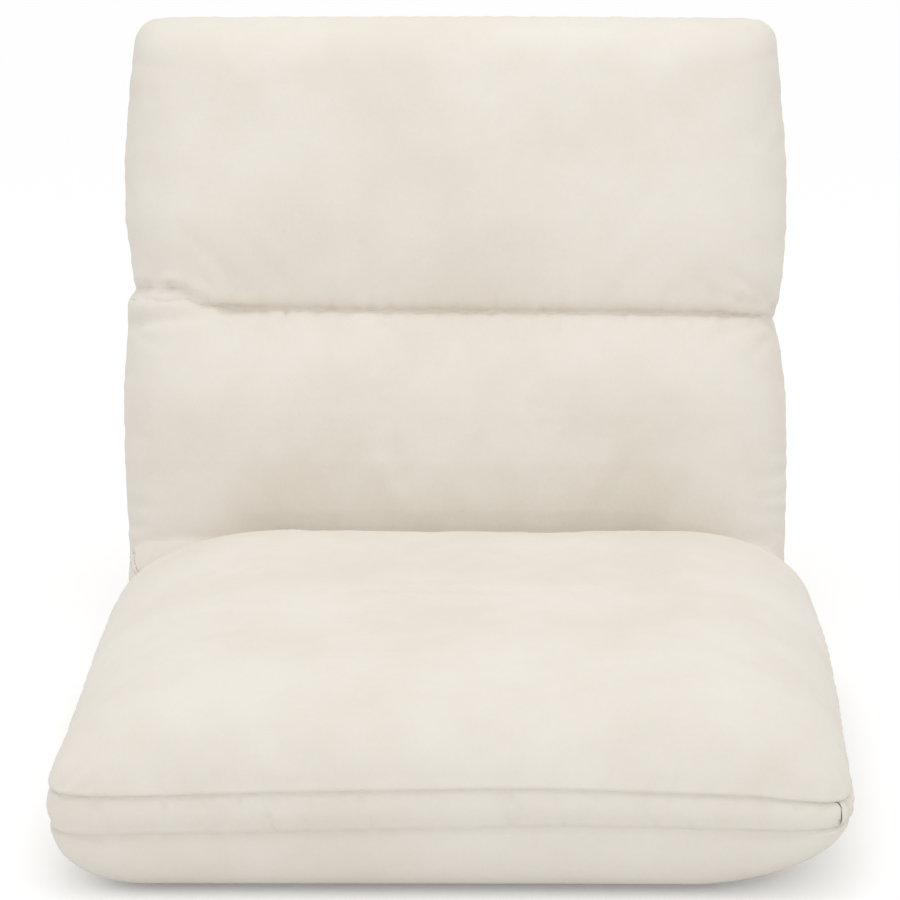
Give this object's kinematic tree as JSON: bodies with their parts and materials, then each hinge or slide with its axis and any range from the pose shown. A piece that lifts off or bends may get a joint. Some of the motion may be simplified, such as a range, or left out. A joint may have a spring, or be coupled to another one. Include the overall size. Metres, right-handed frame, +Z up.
{
  "type": "folding floor chair",
  "caption": "Legless folding floor chair with a thick padded seat and a padded back with a sewn channel, joined by ratchet hinges that recline flat or fold over the seat.",
  "frame": {"origin": "on the floor, at the centre of the seat's flat underside", "axes": "+Z up, -Y the way the sitter faces, +X to the right in the picture"},
  "size_m": [0.55, 0.6964, 0.5166],
  "materials": {
    "cover_cloth": "soft brushed nap, cream",
    "base_cloth": "plain grip cloth, pale beige",
    "foam": "open cell foam, off white",
    "lining": "thin woven lining",
    "webbing": "ribbed elastic webbing",
    "tube_steel": "satin black powder coat",
    "plate_steel": "zinc plated",
    "pin_steel": "zinc plated",
    "spring_steel": "oiled spring steel"
  },
  "bodies": {
    "seat": {"seat_cover_top": "cover_cloth", "seat_cover_band": "cover_cloth", "hinge_cover": "cover_cloth", "seat_cover_base": "base_cloth", "seat_foam_upper": "foam", "seat_foam_lower": "foam", "seat_straps": "webbing", "seat_frame_tube": "tube_steel", "seat_cross_tube": "tube_steel", "cheek_outer_left": "plate_steel", "cheek_outer_right": "plate_steel", "cheek_inner_left": "plate_steel", "cheek_inner_right": "plate_steel", "seat_tongue_left": "plate_steel", "seat_tongue_right": "plate_steel", "pivot_pin_left": "pin_steel", "pivot_pin_right": "pin_steel", "pawl_pin_left": "pin_steel", "pawl_pin_right": "pin_steel", "seat_rivets": "pin_steel", "pawl_spring_left": "spring_steel", "pawl_spring_right": "spring_steel"},
    "back": {"ratchet_left": "plate_steel", "ratchet_right": "plate_steel", "back_frame_tube": "tube_steel", "back_cross_tube": "tube_steel", "back_straps": "webbing", "back_foam_lower": "foam", "back_foam_upper": "foam", "back_foam_rear": "foam", "channel_tie": "lining", "back_cover_front": "cover_cloth", "back_cover_band": "cover_cloth", "back_cover_rear": "cover_cloth", "back_rivets": "pin_steel"},
    "pawl_left": {"pawl_left": "plate_steel"},
    "pawl_right": {"pawl_right": "plate_steel"}
  },
  "joints": [
    {"name": "back_fold", "type": "hinge", "parent": "seat", "child": "back", "pos_m": [0, 0.275, 0.06], "axis": [-1, 0, 0], "range_deg": [-75, 75], "deforming": ["seat_cover_top", "seat_foam_upper", "back_cover_front", "back_foam_lower"]},
    {"name": "pawl_left_lift", "type": "hinge", "parent": "seat", "child": "pawl_left", "pos_m": [-0.225, 0.23422, 0.05571], "axis": [1, 0, 0], "range_deg": [0, 17.18]},
    {"name": "pawl_right_lift", "type": "hinge", "parent": "seat", "child": "pawl_right", "pos_m": [0.225, 0.23422, 0.05571], "axis": [1, 0, 0], "range_deg": [0, 17.18]}
  ]
}
